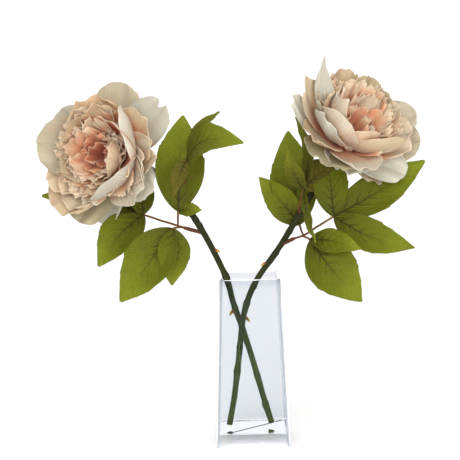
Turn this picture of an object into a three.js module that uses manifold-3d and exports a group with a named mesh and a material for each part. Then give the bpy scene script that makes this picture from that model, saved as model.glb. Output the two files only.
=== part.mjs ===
// Two peony stems standing crossed in a square, tapered glass bud vase.
// Millimetres, +Z up. The origin is the centre of the vase's underside, +X runs to the
// right and the open face of both blooms looks towards -Y.
// Petals and leaves are thin closed shells: a finely divided flat box bent onto a curved
// surface. Each piece is a solid of its own, cut back where it would touch an earlier one.
import * as THREE from "three";
import { mergeVertices } from "three/addons/utils/BufferGeometryUtils.js";
import Module from "manifold-3d";

const wasm = await Module();
wasm.setup();

// ---- driving dimensions -------------------------------------------------------------
const GAP = 0.35; // clearance left between pieces that touch
const BLADE = 0.8; // thickness of petals and leaf blades

const VASE = { height: 155, rimHalf: 28.2, baseHalf: 34.5, wall: 2.8, floor: 11, corner: 5 };

const STEM_RADIUS = 2.9;
const STEM_SIDES = 8;
const STEM_STEPS = 28;
const STALK_RADIUS = 1.1;

// Stem centre lines, from the cut end on the vase's floor to the flower's receptacle.
const STEMS = {
  left: [
    [18, 4, 14.6], [11.6, 2, 37], [1, -1, 77], [-7.2, -3.6, 105], [-15.4, -6, 130],
    [-20.8, -7.5, 152], [-33, -6, 180], [-45.5, -1, 203], [-60, 10, 224],
    [-78, 27, 243], [-97, 43, 257], [-115, 53, 264], [-124.5, 53, 266.2], [-126.3, 47, 266.4],
  ],
  right: [
    [-21.6, -2, 14.6], [-17.1, 0, 37], [-12.6, 2.5, 68], [-9.2, 4.2, 96], [-6.6, 6.8, 114],
    [-0.9, 12.5, 133], [8.6, 18.5, 151], [24, 23.5, 171], [38.4, 27, 192], [54, 31, 217],
    [66, 36, 235], [78, 40, 253], [87, 40, 268], [91.7, 34.1, 277.8],
  ],
};

// Small hooked thorns: where along the stem (0 is the cut end), and which way each points.
const THORNS = {
  left: [[0.35, [-0.9, -0.3, -0.5]], [0.533, [0.95, -0.25, 0.1]]],
  right: [[0.345, [0.9, -0.35, -0.4]], [0.53, [-0.95, -0.3, 0.15]]],
};

// ---- helpers ------------------------------------------------------------------------
const rad = THREE.MathUtils.degToRad;
const vec = (p) => new THREE.Vector3(...p);

function toSolid(geometry) {
  const bare = geometry.index ? geometry.toNonIndexed() : geometry.clone();
  bare.deleteAttribute("normal");
  bare.deleteAttribute("uv");
  const merged = mergeVertices(bare, 1e-4);
  return new wasm.Manifold(new wasm.Mesh({
    numProp: 3,
    vertProperties: new Float32Array(merged.attributes.position.array),
    triVerts: new Uint32Array(merged.index.array),
  }));
}

function toGeometry(solid) {
  const mesh = solid.getMesh();
  const points = new Float32Array(mesh.numVert * 3);
  for (let i = 0; i < mesh.numVert; i++) {
    points.set(mesh.vertProperties.subarray(i * mesh.numProp, i * mesh.numProp + 3), i * 3);
  }
  const geometry = new THREE.BufferGeometry();
  geometry.setAttribute("position", new THREE.BufferAttribute(points, 3));
  geometry.setIndex(new THREE.BufferAttribute(mesh.triVerts, 1));
  geometry.computeVertexNormals();
  return geometry;
}

// A closed shell: a flat box, divided finely, whose points are moved onto surface(u, v).
// surface gives a point and its unit normal for u from 0 to 1 and v from -1 to 1.
function bentShell(surface, thickness, along, across, margin = 0) {
  const box = new THREE.BoxGeometry(2, 1, 1, across, 1, along);
  const place = box.attributes.position;
  for (let i = 0; i < place.count; i++) {
    const u = place.getZ(i) + 0.5;
    const { point, normal } = surface(u * (1 + 2 * margin) - margin, place.getX(i) * (1 + margin));
    point.addScaledVector(normal, -place.getY(i) * thickness);
    place.setXYZ(i, point.x, point.y, point.z);
  }
  const solid = toSolid(box);
  if (solid.volume() > 0) return solid;
  const flipped = box.toNonIndexed();
  const p = flipped.attributes.position;
  for (let i = 0; i < p.count; i += 3) {
    const a = [p.getX(i), p.getY(i), p.getZ(i)];
    p.setXYZ(i, p.getX(i + 1), p.getY(i + 1), p.getZ(i + 1));
    p.setXYZ(i + 1, ...a);
  }
  return toSolid(flipped);
}

function tube(points, radius, steps, sides) {
  const section = new THREE.Shape();
  section.absarc(0, 0, radius, 0, 2 * Math.PI, false);
  const path = new THREE.CatmullRomCurve3(points.map(vec));
  return toSolid(new THREE.ExtrudeGeometry(section, {
    steps, extrudePath: path, curveSegments: sides / 2, bevelEnabled: false,
  }));
}

// Pieces made so far, each with the slightly larger solid that later pieces keep out of.
const group = new THREE.Group();
const made = [];

function biggest(solid) {
  return solid.decompose().sort((a, b) => b.volume() - a.volume())[0];
}

function addPiece(name, solid, keepOut, material) {
  let kept = solid;
  for (const other of made) {
    if (kept.intersect(other).volume() > 0) kept = biggest(kept.subtract(other));
  }
  made.push(keepOut);
  const mesh = new THREE.Mesh(toGeometry(biggest(kept.simplify(0.05))), material);
  mesh.name = name;
  group.add(mesh);
}

// ---- materials ----------------------------------------------------------------------
const surfaceOf = (color, roughness) => (
  new THREE.MeshStandardMaterial({ color, roughness, metalness: 0 }));
const GLASS = new THREE.MeshStandardMaterial({
  color: 0xe5eaf0, roughness: 0.03, metalness: 0, transparent: true, opacity: 0.35,
});
const STEM_GREEN = surfaceOf(0x4a4f2a, 0.75);
const STALK_BROWN = surfaceOf(0x7a4a28, 0.6);
const LEAF_GREEN = surfaceOf(0x70792a, 0.6);
const SEPAL_GREEN = surfaceOf(0x8f9a4a, 0.65);
const PETAL_CREAM = surfaceOf(0xe9dcc0, 0.7);
const PETAL_PEACH = surfaceOf(0xe3c39c, 0.7);
const PETAL_CORAL = surfaceOf(0xd08c72, 0.7);

// ---- vase ---------------------------------------------------------------------------
function roundedSquare(half, corner) {
  const s = new THREE.Shape();
  const flat = half - corner;
  s.absarc(flat, flat, corner, 0, Math.PI / 2, false);
  s.absarc(-flat, flat, corner, Math.PI / 2, Math.PI, false);
  s.absarc(-flat, -flat, corner, Math.PI, 1.5 * Math.PI, false);
  s.absarc(flat, -flat, corner, 1.5 * Math.PI, 2 * Math.PI, false);
  return s;
}

// An upright bar of rounded-square section between two heights, that narrows upwards.
function taperedBar(halfAt, corner, low, high) {
  const g = new THREE.ExtrudeGeometry(roundedSquare(halfAt(low), corner), {
    depth: high - low, steps: 1, curveSegments: 4, bevelEnabled: false,
  });
  g.translate(0, 0, low);
  const p = g.attributes.position;
  for (let i = 0; i < p.count; i++) {
    const shrink = halfAt(p.getZ(i)) / halfAt(low);
    p.setXY(i, p.getX(i) * shrink, p.getY(i) * shrink);
  }
  return toSolid(g);
}

const outerHalf = (z) => VASE.baseHalf + (VASE.rimHalf - VASE.baseHalf) * (z / VASE.height);
const innerHalf = (z) => outerHalf(z) - VASE.wall;

const vaseBody = taperedBar(outerHalf, VASE.corner, 0, VASE.height);
const vaseHollow = taperedBar(innerHalf, VASE.corner - 2, VASE.floor, VASE.height + 1);
const vase = vaseBody.subtract(vaseHollow);
const vaseKeepOut = taperedBar((z) => outerHalf(z) + GAP, VASE.corner, -GAP, VASE.height + GAP)
  .subtract(taperedBar((z) => innerHalf(z) - GAP, VASE.corner - 2, VASE.floor + GAP, VASE.height + 2));
addPiece("vase", vase, vaseKeepOut, GLASS);

// ---- stems with their thorns --------------------------------------------------------
function thorn(curve, place, direction) {
  const cone = new THREE.ConeGeometry(1.3, 4.6, 5);
  cone.translate(0, 2.3 + STEM_RADIUS * 0.6, 0);
  const turn = new THREE.Quaternion().setFromUnitVectors(
    new THREE.Vector3(0, 1, 0), vec(direction).normalize());
  cone.applyQuaternion(turn);
  cone.translate(...curve.getPointAt(place).toArray());
  return toSolid(cone);
}

for (const side of ["left", "right"]) {
  const curve = new THREE.CatmullRomCurve3(STEMS[side].map(vec));
  let stem = tube(STEMS[side], STEM_RADIUS, STEM_STEPS, STEM_SIDES);
  for (const [place, direction] of THORNS[side]) stem = stem.add(thorn(curve, place, direction));
  const keepOut = tube(STEMS[side], STEM_RADIUS + GAP, STEM_STEPS, STEM_SIDES);
  addPiece(`stem_${side}`, stem, keepOut, STEM_GREEN);
}

// ---- leaves -------------------------------------------------------------------------
// Ovate outline: nearly nothing at the stalk, widest a third of the way up, pointed.
const leafOutline = (u) => 0.05 + 0.95 * Math.pow(Math.sin(Math.PI * Math.pow(u, 0.8)), 0.85);

// One lobe runs from base to tip. It arches along the face direction and bows sideways, and
// its two halves rise from the midrib by DISH mm per mm squared of distance from the midrib.
const DISH = 0.012;
function lobeSurface(base, [tip, width, face, arch, bow]) {
  const from = vec(base);
  const run = vec(tip).sub(from);
  const along = run.clone().normalize();
  const side = new THREE.Vector3().crossVectors(vec(face), along).normalize();
  const up = new THREE.Vector3().crossVectors(along, side).normalize();
  return (u, v) => {
    const s = v * 0.5 * width * leafOutline(THREE.MathUtils.clamp(u, 0, 1));
    const lift = 4 * arch * u * (1 - u) + DISH * s * s;
    const point = from.clone().addScaledVector(run, u)
      .addScaledVector(side, s + bow * Math.sin(Math.PI * u));
    return { point: point.addScaledVector(up, lift), normal: up };
  };
}

// Keeping the biggest shell fills any pocket sealed between lobes where they meet.
function leafSolid(base, lobes, thickness) {
  return biggest(lobes
    .map((lobe) => bentShell(lobeSurface(base, lobe), thickness, 6, 4))
    .reduce((sum, lobe) => sum.add(lobe)));
}

// The lobes of a leaf share its base point. Each is listed as its tip, its width, the way
// its upper side faces, how high it arches and how far it bows.
const LEAVES = {
  leaf_left_terminal: { base: [-98, 34, 210.5], lobes: [
    [[-141, 16, 165], 39, [-0.3, -1, 0.5], 5, -2],
    [[-198, 78, 226.6], 34, [0.1, -1, 0.35], -4, -8],
    [[-106, 52, 246], 26, [0.2, -1, 0.1], 5, 0]] },
  leaf_left_upright: { base: [-64.5, 1, 216.5], lobes: [
    [[-59, 30, 303], 46, [0.1, -1, 0.2], 5, 1],
    [[-43, -2, 217], 14, [0, -1, 0.6], 3, 0]] },
  leaf_left_low: { base: [-69.5, -3, 201], lobes: [
    [[-119, -16, 136], 47, [-0.2, -1, 0.3], 5, 2],
    [[-72, -15, 150], 31, [0.3, -1, 0.25], 4, 0]] },
  leaf_left_upper: { base: [-54, -6, 265], lobes: [
    [[-3, -26, 280], 36, [-0.2, -0.75, 0.75], 15, 1],
    [[-24, 4, 307], 22, [-0.9, -0.4, 0.3], 8, 0],
    [[-68, -18, 232], 16, [-0.4, -1, 0.2], 5, 0]] },
  leaf_right_terminal: { base: [80.5, 22, 206], lobes: [
    [[168, 40, 255], 38, [0.1, -1, 0.45], 5, -3],
    [[154, 2, 177], 34, [0.1, -1, 0.5], 5, -6],
    [[77, 44, 270], 33, [-0.1, -1, 0.1], 5, 0]] },
  leaf_right_upright: { base: [49, 38, 197.5], lobes: [
    [[40, 52, 285], 44, [-0.1, -1, 0.1], 5, 0],
    [[12, 40, 243], 29, [-0.3, -1, 0.1], 5, -2]] },
  leaf_right_low: { base: [57.5, 8, 186.5], lobes: [
    [[103, -6, 129], 47, [0.1, -1, 0.35], 5, -3],
    [[103, -6, 178], 26, [0.1, -0.9, 0.6], 4, 0]] },
  leaf_right_upper: { base: [52.5, 17, 232.5], lobes: [
    [[38, -6, 272], 19, [-0.5, -1, 0.1], 5, 0],
    [[47, 22, 300], 20, [-0.9, -0.45, 0.05], -4, -3],
    [[88, 26, 258], 30, [0.15, 0.8, 0.5], 5, 0],
    [[60, -14, 186], 14, [-1, -0.4, 0.05], 2, 0]] },
};
for (const [name, { base, lobes }] of Object.entries(LEAVES)) {
  addPiece(name, leafSolid(base, lobes, BLADE), leafSolid(base, lobes, BLADE + 2 * GAP), LEAF_GREEN);
}

// ---- leaf stalks --------------------------------------------------------------------
// Each stalk starts at its stem and forks to the leaves it carries. It is cut clear of
// both, so a stalk lifts off as a piece of its own.
const STALKS = {
  stalk_left_lower: [
    [[-42, -2.5, 196.5], [-53, -4.5, 199.5], [-65, -3, 203.5], [-79, 9, 206.7], [-98, 34, 210.5]],
    [[-65, -3, 203.5], [-64.8, -1.5, 210], [-64.5, 1, 216.5]],
    [[-60, -4, 202], [-65, -4, 202], [-69.5, -3, 201]]],
  stalk_right_lower: [
    [[32, 25.5, 180.5], [42, 20, 186], [51.5, 16, 189.5], [66, 18, 198], [80.5, 22, 206]],
    [[51.5, 16, 189.5], [50, 27, 193], [49, 38, 197.5]],
    [[50, 16.5, 189], [54, 12, 188], [57.5, 8, 186.5]]],
  stalk_left_upper: [
    [[-64, 16, 228], [-58, 4, 243], [-55.5, -2, 256], [-54, -6, 265]]],
  stalk_right_upper: [
    [[49, 29.6, 209.5], [48, 22, 215], [50, 18, 224], [52.5, 17, 232.5]]],
};
for (const [name, runs] of Object.entries(STALKS)) {
  const branches = (radius) => runs
    .map((run, i) => tube(run, radius * (i ? 0.85 : 1), 7, 6))
    .reduce((sum, branch) => sum.add(branch));
  addPiece(name, branches(STALK_RADIUS), branches(STALK_RADIUS + GAP), STALK_BROWN);
}

// ---- blooms -------------------------------------------------------------------------
// A bloom's frame: origin on top of its receptacle, z along the way it faces, x to the
// right and y up as seen from in front. Petals stand round z at their own azimuth.
function bloomFrame(origin, facing) {
  const z = vec(facing).normalize();
  const x = new THREE.Vector3(0, 0, 1).cross(z).normalize();
  const y = new THREE.Vector3().crossVectors(z, x);
  return new THREE.Matrix4().makeBasis(x, y, z).setPosition(...origin);
}

// Narrow claw, widest past the middle, rounded top.
function petalOutline(u) {
  const claw = 0.13;
  const widest = 0.62;
  if (u < widest) return claw + (1 - claw) * Math.sin((Math.PI / 2) * Math.pow(u / widest, 0.9));
  return Math.sqrt(1 - Math.pow((u - widest) / 0.4, 2));
}

// The mid line leaves the receptacle at lean0 degrees from the bloom's axis and ends at
// lean1. Across, the petal is an arc of cup degrees. twist lifts one edge over the next,
// and shift carries the tip sideways.
function petalSurface(frame, p) {
  const { azimuth, r0, z0, length, width, lean0, lean1, cup, twist = 12, shift = 0 } = p;
  const a = rad(azimuth);
  const out = new THREE.Vector3(Math.cos(a), Math.sin(a), 0);
  const tangent = new THREE.Vector3(-Math.sin(a), Math.cos(a), 0);
  const axis = new THREE.Vector3(0, 0, 1);
  const from = rad(lean0);
  const turn = rad(lean1 - lean0);
  const round = width / rad(cup);
  const t = rad(twist);
  return (uIn, v) => {
    const u = THREE.MathUtils.clamp(uIn, 0, 1);
    const lean = from + turn * u;
    const r = r0 + (length * (Math.cos(from) - Math.cos(lean))) / turn;
    const z = z0 + (length * (Math.sin(lean) - Math.sin(from))) / turn;
    const inward = out.clone().multiplyScalar(-Math.cos(lean)).addScaledVector(axis, Math.sin(lean));
    const across = tangent.clone().multiplyScalar(Math.cos(t)).addScaledVector(inward, Math.sin(t));
    const lift = inward.clone().multiplyScalar(Math.cos(t)).addScaledVector(tangent, -Math.sin(t));
    const bend = (v * 0.5 * width * petalOutline(u)) / round;
    const point = out.clone().multiplyScalar(r).addScaledVector(axis, z)
      .addScaledVector(across, round * Math.sin(bend) + shift * u)
      .addScaledVector(lift, round * (1 - Math.cos(bend)));
    const normal = lift.multiplyScalar(Math.cos(bend)).addScaledVector(across, -Math.sin(bend));
    return { point: point.applyMatrix4(frame), normal: normal.transformDirection(frame) };
  };
}

function addPetal(name, frame, shape, material) {
  const surface = petalSurface(frame, shape);
  const solid = bentShell(surface, BLADE, 5, 4);
  const keepOut = bentShell(surface, BLADE + 2 * GAP, 5, 4, 0.02);
  addPiece(name, solid, keepOut, material);
}

function lathe(profile, frame, sides) {
  const g = new THREE.LatheGeometry(profile.map(([r, z]) => new THREE.Vector2(r, z)), sides);
  g.rotateX(Math.PI / 2);
  g.applyMatrix4(frame);
  return toSolid(g);
}

const RECEPTACLE = [[0, -11], [3.9, -11], [5, -6], [8.6, -2], [8.6, 0], [0, 0]];
const HEART = [[0, GAP], [4, GAP], [4, 9], [2.6, 11.5], [0, 12.5]];
const grown = (profile) => profile.map(([r, z]) => [r ? r + GAP : 0, z + (z > -5 ? GAP : -GAP)]);

// Petals of one bloom, in rings from the outside in. Each row is an azimuth and what
// differs from its ring: length, width, and how far the claw and the tip lean out.
const RINGS = {
  guard: { r0: 7.5, z0: 0.9, length: 66, width: 54, lean0: 90, lean1: 64, cup: 45 },
  collar: { r0: 6.5, z0: 2.6, length: 60, width: 50, lean0: 82, lean1: 32, cup: 70 },
  cup: { r0: 5.6, z0: 4.4, length: 58, width: 48, lean0: 66, lean1: -8, cup: 75 },
  crown: { r0: 5, z0: 6.2, length: 43, width: 50, lean0: 48, lean1: 2, cup: 150, twist: 8 },
};
const row = (azimuth, length, width, lean1, more = {}) => ({ azimuth, length, width, lean1, ...more });

const BLOOMS = {
  left: {
    origin: [-126, 47, 266.3], facing: [-0.42, -0.88, 0.14],
    guard: [
      row(41, 68, 46, 74, { lean0: 92 }), row(80, 63, 52, 64), row(146, 62, 46, 62),
      row(249, 64, 60, 64), row(266, 59, 46, 80, { lean0: 96 }), row(326, 53, 48, 66)],
    collar: [
      row(172, 68, 62, 38), row(109, 57, 60, 32), row(40, 58, 50, 45),
      row(2, 57, 46, 50), row(316, 58, 52, 50), row(235, 70, 62, 44)],
    cup: [
      row(11, 62, 60, -30, { lean0: 105, cup: 50, shift: 20, twist: 4 }),
      row(307, 65, 68, -35, { lean0: 104, shift: -4, twist: 4 }),
      row(52, 54, 56, -4, { lean0: 78, z0: 6 }), row(215, 50, 46, 12), row(135, 50, 46, 14)],
    crown: [row(60, 40, 50, 2), row(180, 44, 50, 16), row(300, 42, 50, 6)],
  },
  right: {
    origin: [90.5, 35.7, 276], facing: [0.46, -0.62, 0.63],
    guard: [
      row(344, 70, 52, 54, { lean0: 86 }), row(74, 64, 54, 34, { lean0: 84 }),
      row(104, 57, 46, 40, { lean0: 84 }), row(150, 68, 26, 40, { twist: -20 }),
      row(212, 60, 56, 57), row(306, 60, 50, 66)],
    collar: [
      row(2, 72, 46, 36), row(30, 60, 44, 24), row(48, 64, 46, 28),
      row(137, 68, 46, 32, { twist: -12 }), row(182, 56, 48, 12), row(250, 58, 54, 44)],
    cup: [
      row(131, 76, 20, 27, { lean0: 60, cup: 30, twist: -60 }), row(194, 58, 52, -12, { lean0: 78 }),
      row(282, 61, 66, -22, { lean0: 90, shift: 4, twist: -18 }), row(252, 52, 46, -14), row(166, 56, 38, -16)],
    crown: [row(60, 46, 50, 6), row(180, 42, 50, 4), row(300, 42, 50, 4)],
  },
};

const RING_MATERIAL = {
  guard: PETAL_CREAM, collar: PETAL_CREAM, cup: PETAL_PEACH, crown: PETAL_CORAL,
};
const SEPALS = 5;
for (const [side, bloom] of Object.entries(BLOOMS)) {
  const frame = bloomFrame(bloom.origin, bloom.facing);
  let calyx = lathe(RECEPTACLE, frame, 10);
  let calyxKeepOut = lathe(grown(RECEPTACLE), frame, 10);
  for (let i = 0; i < SEPALS; i++) {
    const sepal = petalSurface(frame, {
      azimuth: 20 + (360 / SEPALS) * i, r0: 6, z0: -2.4, length: 24, width: 15,
      lean0: 100, lean1: 78, cup: 40, twist: 0,
    });
    calyx = calyx.add(bentShell(sepal, BLADE, 3, 2));
    calyxKeepOut = calyxKeepOut.add(bentShell(sepal, BLADE + 2 * GAP, 3, 2));
  }
  addPiece(`calyx_${side}`, calyx, calyxKeepOut, SEPAL_GREEN);
  addPiece(`heart_${side}`, lathe(HEART, frame, 10), lathe(grown(HEART), frame, 10), PETAL_CORAL);
  for (const ring of ["crown", "cup", "collar", "guard"]) {
    bloom[ring].forEach((own, i) => {
      addPetal(`${ring}_${side}_${i + 1}`, frame, { ...RINGS[ring], ...own }, RING_MATERIAL[ring]);
    });
  }
}

export default group;
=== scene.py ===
import math
import random

import bmesh
import bpy
import numpy as np
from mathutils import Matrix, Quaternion, Vector


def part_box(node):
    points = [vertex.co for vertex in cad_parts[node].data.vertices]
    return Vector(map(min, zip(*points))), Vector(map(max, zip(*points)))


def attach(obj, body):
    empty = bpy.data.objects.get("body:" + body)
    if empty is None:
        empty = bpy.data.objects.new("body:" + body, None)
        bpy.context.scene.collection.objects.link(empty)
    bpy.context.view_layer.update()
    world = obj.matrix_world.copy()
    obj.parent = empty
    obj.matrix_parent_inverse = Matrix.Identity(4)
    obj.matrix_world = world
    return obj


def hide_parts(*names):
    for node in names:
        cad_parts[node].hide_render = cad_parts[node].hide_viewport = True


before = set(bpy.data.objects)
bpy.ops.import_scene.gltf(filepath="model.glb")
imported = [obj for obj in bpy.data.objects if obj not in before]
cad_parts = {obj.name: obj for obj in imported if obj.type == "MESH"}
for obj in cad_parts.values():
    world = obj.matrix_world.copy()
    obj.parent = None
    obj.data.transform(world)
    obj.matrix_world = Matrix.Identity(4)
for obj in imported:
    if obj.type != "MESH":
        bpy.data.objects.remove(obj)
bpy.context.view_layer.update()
bpy.ops.object.select_all(action="DESELECT")


# ---- Room -----------------------------------------------------------------------------
# A white paper sweep: one sheet that lies flat under the vase and turns up behind it in a
# wide bend. A bright room lights it, with a big soft lamp up on the left, another low on the
# right and a weak one above the sweep.
def linear(code):
    """An sRGB hex value such as "d8d4cc" as linear red, green, blue and alpha."""
    parts = [int(code[i:i + 2], 16) / 255 for i in (0, 2, 4)]
    return (*[p / 12.92 if p <= 0.04045 else ((p + 0.055) / 1.055) ** 2.4 for p in parts], 1.0)


def add_node(tree, kind, settings=None, inputs=None):
    """Adds one shader node, sets its settings, and gives each input a value or a link."""
    node = tree.nodes.new(kind)
    for key, value in (settings or {}).items():
        setattr(node, key, value)
    for key, value in (inputs or {}).items():
        if isinstance(value, bpy.types.NodeSocket):
            tree.links.new(value, node.inputs[key])
        else:
            node.inputs[key].default_value = value
    return node


def new_material(name):
    """An empty material with its output node. Returns the material, its tree and the output."""
    material = bpy.data.materials.new(name)
    material.use_nodes = True
    material.node_tree.nodes.clear()
    return material, material.node_tree, material.node_tree.nodes.new("ShaderNodeOutputMaterial")


def calc(tree, operation, *values):
    """One step of arithmetic on values or sockets."""
    node = add_node(tree, "ShaderNodeMath", {"operation": operation}, dict(enumerate(values)))
    return node.outputs[0]


def rescale(tree, value, low, high, to_low=0.0, to_high=1.0, kind="LINEAR"):
    """Carries value from low..high over to to_low..to_high and holds it at both ends."""
    return add_node(tree, "ShaderNodeMapRange", {"interpolation_type": kind}, {
        "Value": value, "From Min": low, "From Max": high,
        "To Min": to_low, "To Max": to_high}).outputs[0]


FLOOR_HALF = 2.0
SWEEP_HEIGHT = 2.4
SWEEP_BEND = 0.8

bpy.ops.mesh.primitive_plane_add(size=2 * FLOOR_HALF, location=(0, 0, 0))
sweep = bpy.context.object
sweep.name = "paper_sweep"
bpy.ops.object.mode_set(mode="EDIT")
bm = bmesh.from_edit_mesh(sweep.data)
for edge in bm.edges:
    edge.select_set(all(v.co.y > 0 for v in edge.verts))
bmesh.update_edit_mesh(sweep.data)
bpy.ops.mesh.select_mode(type="EDGE")
bpy.ops.mesh.extrude_region_move(TRANSFORM_OT_translate={"value": (0, 0, SWEEP_HEIGHT)})
bm = bmesh.from_edit_mesh(sweep.data)
for edge in bm.edges:
    edge.select_set(all(v.co.y > 0 and v.co.z < 0.01 for v in edge.verts))
bmesh.update_edit_mesh(sweep.data)
bpy.ops.mesh.bevel(offset=SWEEP_BEND, segments=16)
bpy.ops.object.mode_set(mode="OBJECT")
bpy.ops.object.shade_smooth()

paper, tree, out = new_material("white_background_paper")
# Matt uncoated paper: almost white, with no shine. Its back is clear, so that the arrangement
# can be looked at from behind the sweep too.
surface = add_node(tree, "ShaderNodeBsdfDiffuse", inputs={"Color": linear("fcfcfc")})
one_sided = add_node(tree, "ShaderNodeMixShader", inputs={
    "Fac": add_node(tree, "ShaderNodeNewGeometry").outputs["Backfacing"],
    1: surface.outputs[0], 2: add_node(tree, "ShaderNodeBsdfTransparent").outputs[0]})
tree.links.new(one_sided.outputs[0], out.inputs["Surface"])
sweep.data.materials.append(paper)

scene = bpy.context.scene
scene.view_settings.view_transform = "Standard"
room = bpy.data.worlds.new("white_room")
room.use_nodes = True
sky = room.node_tree
toward = add_node(sky, "ShaderNodeSeparateXYZ", inputs={
    0: add_node(sky, "ShaderNodeTexCoord").outputs["Generated"]}).outputs["X"]
# The side walls of the room are grey, which draws the edges of the clear glass.
walls = rescale(sky, calc(sky, "ABSOLUTE", toward), 0.6, 0.9, 0.9, 0.4, "SMOOTHSTEP")
# Seen straight from the camera they are plain white, like the rest of the room.
strength = calc(sky, "MAXIMUM", walls, add_node(sky, "ShaderNodeLightPath").outputs["Is Camera Ray"])
sky.links.new(strength, sky.nodes["Background"].inputs["Strength"])
sky.nodes["Background"].inputs["Color"].default_value = (1, 1, 1, 1)
scene.world = room


def soft_lamp(name, place, target, size, watts):
    """A square softbox at place that faces target."""
    lamp = bpy.data.lights.new(name, "AREA")
    lamp.size = size
    lamp.energy = watts
    holder = bpy.data.objects.new(name, lamp)
    scene.collection.objects.link(holder)
    holder.location = place
    holder.rotation_euler = (Vector(target) - Vector(place)).to_track_quat("-Z", "Y").to_euler()


soft_lamp("key_softbox", (-0.6, -1.9, 1.0), (0, 0, 0.24), 1.3, 25.5)
soft_lamp("fill_softbox", (0.9, -1.9, 0.4), (0, 0, 0.24), 1.2, 30)
soft_lamp("sweep_light", (0, 0.4, 2.4), (0, 1.6, 0.2), 1.2, 6)

# The camera stands 1.6 m off and looks 6.5 degrees down on the arrangement's middle.
CAMERA_DISTANCE = 1.6
CAMERA_DOWN = math.radians(6.5)
CAMERA_ROLL = math.radians(-1.33)
VIEW_CENTRE = Vector((-0.0170, 0, 0.1980))
VIEW_WIDTH = 0.4255

away = Vector((0, -math.cos(CAMERA_DOWN), math.sin(CAMERA_DOWN)))
lens = bpy.data.cameras.new("camera")
lens.sensor_width = 36
lens.lens = lens.sensor_width * CAMERA_DISTANCE / VIEW_WIDTH
lens.clip_start = 0.01
lens.clip_end = 50
camera = bpy.data.objects.new("camera", lens)
scene.collection.objects.link(camera)
camera.location = VIEW_CENTRE + away * CAMERA_DISTANCE
camera.rotation_mode = "QUATERNION"
camera.rotation_quaternion = (-away).to_track_quat("-Z", "Y") @ Quaternion((0, 0, 1), CAMERA_ROLL)
scene.camera = camera


# ---- Vase -----------------------------------------------------------------------------
# A square bud vase of clear pressed glass. It narrows towards the mouth, its walls are thin,
# its floor is a thick slab, and its corners and rim are rounded where the glass was fired.
VASE_MOUTH_HALF = 0.0282
VASE_WALL = 0.0028
VASE_FLOOR = 0.011
VASE_CORNER = 0.003
# The fire-polished roundings of the rim, of the inside along the floor, and of the foot.
RIM_ROUND, INSIDE_ROUND, FOOT_ROUND = 0.0009, 0.0022, 0.0012
# How far below the rim the lip's painted shade, a faint colder tint, starts, and where it is full.
LIP_START, LIP_FULL = 0.009, 0.004

vase_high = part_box("vase")[1]
vase_height = vase_high.z
vase_foot_half = vase_high.x
mouth_share = VASE_MOUTH_HALF / vase_foot_half
floor_share = 1 - (1 - mouth_share) * VASE_FLOOR / vase_height
bpy.ops.mesh.primitive_cube_add(size=1, location=(0, 0, vase_height / 2))
vase = bpy.context.object
vase.name = "glass_vase"
vase.scale = (2 * vase_foot_half, 2 * vase_foot_half, vase_height)
bpy.ops.object.transform_apply(location=True, rotation=False, scale=True)
bpy.ops.object.mode_set(mode="EDIT")


def select(piece, kind, test):
    """In edit mode, selects the faces or edges of piece whose points or normal pass test."""
    bpy.ops.mesh.select_mode(type=kind)
    bpy.ops.mesh.select_all(action="DESELECT")
    mesh = bmesh.from_edit_mesh(piece.data)
    for part in mesh.faces if kind == "FACE" else mesh.edges:
        part.select_set(test(part))
    bmesh.update_edit_mesh(piece.data)


def at_height(height, slack=0.0004):
    """A test for edges that lie level at this height."""
    return lambda edge: all(abs(v.co.z - height) < slack for v in edge.verts)


def climbs(rise):
    """A test for edges whose two ends differ in height by more than rise."""
    return lambda edge: abs(edge.verts[0].co.z - edge.verts[1].co.z) > rise


def faces_up(face):
    return face.normal.z > 0.9


select(vase, "FACE", faces_up)
bpy.ops.transform.resize(value=(mouth_share, mouth_share, 1), center_override=(0, 0, vase_height))
select(vase, "EDGE", climbs(0.1))
bpy.ops.mesh.bevel(offset=VASE_CORNER, segments=7, affect="EDGES")
select(vase, "FACE", faces_up)
bpy.ops.mesh.inset(thickness=VASE_WALL)
bpy.ops.mesh.extrude_region_move(
    TRANSFORM_OT_translate={"value": (0, 0, VASE_FLOOR - vase_height)})
inner_growth = (vase_foot_half * floor_share - VASE_WALL) / (VASE_MOUTH_HALF - VASE_WALL)
bpy.ops.transform.resize(value=(inner_growth, inner_growth, 1), center_override=(0, 0, VASE_FLOOR))
for height, rounding in ((vase_height, RIM_ROUND), (VASE_FLOOR, INSIDE_ROUND), (0, FOOT_ROUND)):
    select(vase, "EDGE", at_height(height))
    bpy.ops.mesh.bevel(offset=rounding, segments=3, affect="EDGES")
bpy.ops.mesh.select_all(action="SELECT")
bpy.ops.mesh.remove_doubles(threshold=0.00002)
bpy.ops.mesh.normals_make_consistent(inside=False)
bpy.ops.object.mode_set(mode="OBJECT")
bpy.ops.object.shade_smooth_by_angle(angle=math.radians(35))
bpy.ops.object.modifier_add(type="WEIGHTED_NORMAL")
vase.modifiers[-1].keep_sharp = True
bpy.ops.object.modifier_apply(modifier=vase.modifiers[-1].name)


def colour_ramp(tree, factor, *stops):
    """A ramp of colours. stops are (place, sRGB hex) from the first to the last."""
    ramp = add_node(tree, "ShaderNodeValToRGB", inputs={"Fac": factor})
    elements = ramp.color_ramp.elements
    for end, (place, code) in enumerate((stops[0], stops[-1])):
        elements[end].position = place
        elements[end].color = linear(code)
    for place, code in stops[1:-1]:
        elements.new(place).color = linear(code)
    return ramp.outputs[0]


def mixed(tree, share, first, second, blend="MIX"):
    """The first colour with a share of the second mixed in, or multiplied in."""
    return add_node(tree, "ShaderNodeMix", {"data_type": "RGBA", "blend_type": blend}, {
        "Factor": share, 6: first, 7: second}).outputs[2]


def object_place(tree):
    return add_node(tree, "ShaderNodeTexCoord").outputs["Object"]


clear_glass, tree, out = new_material("clear_soda_glass")
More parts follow.
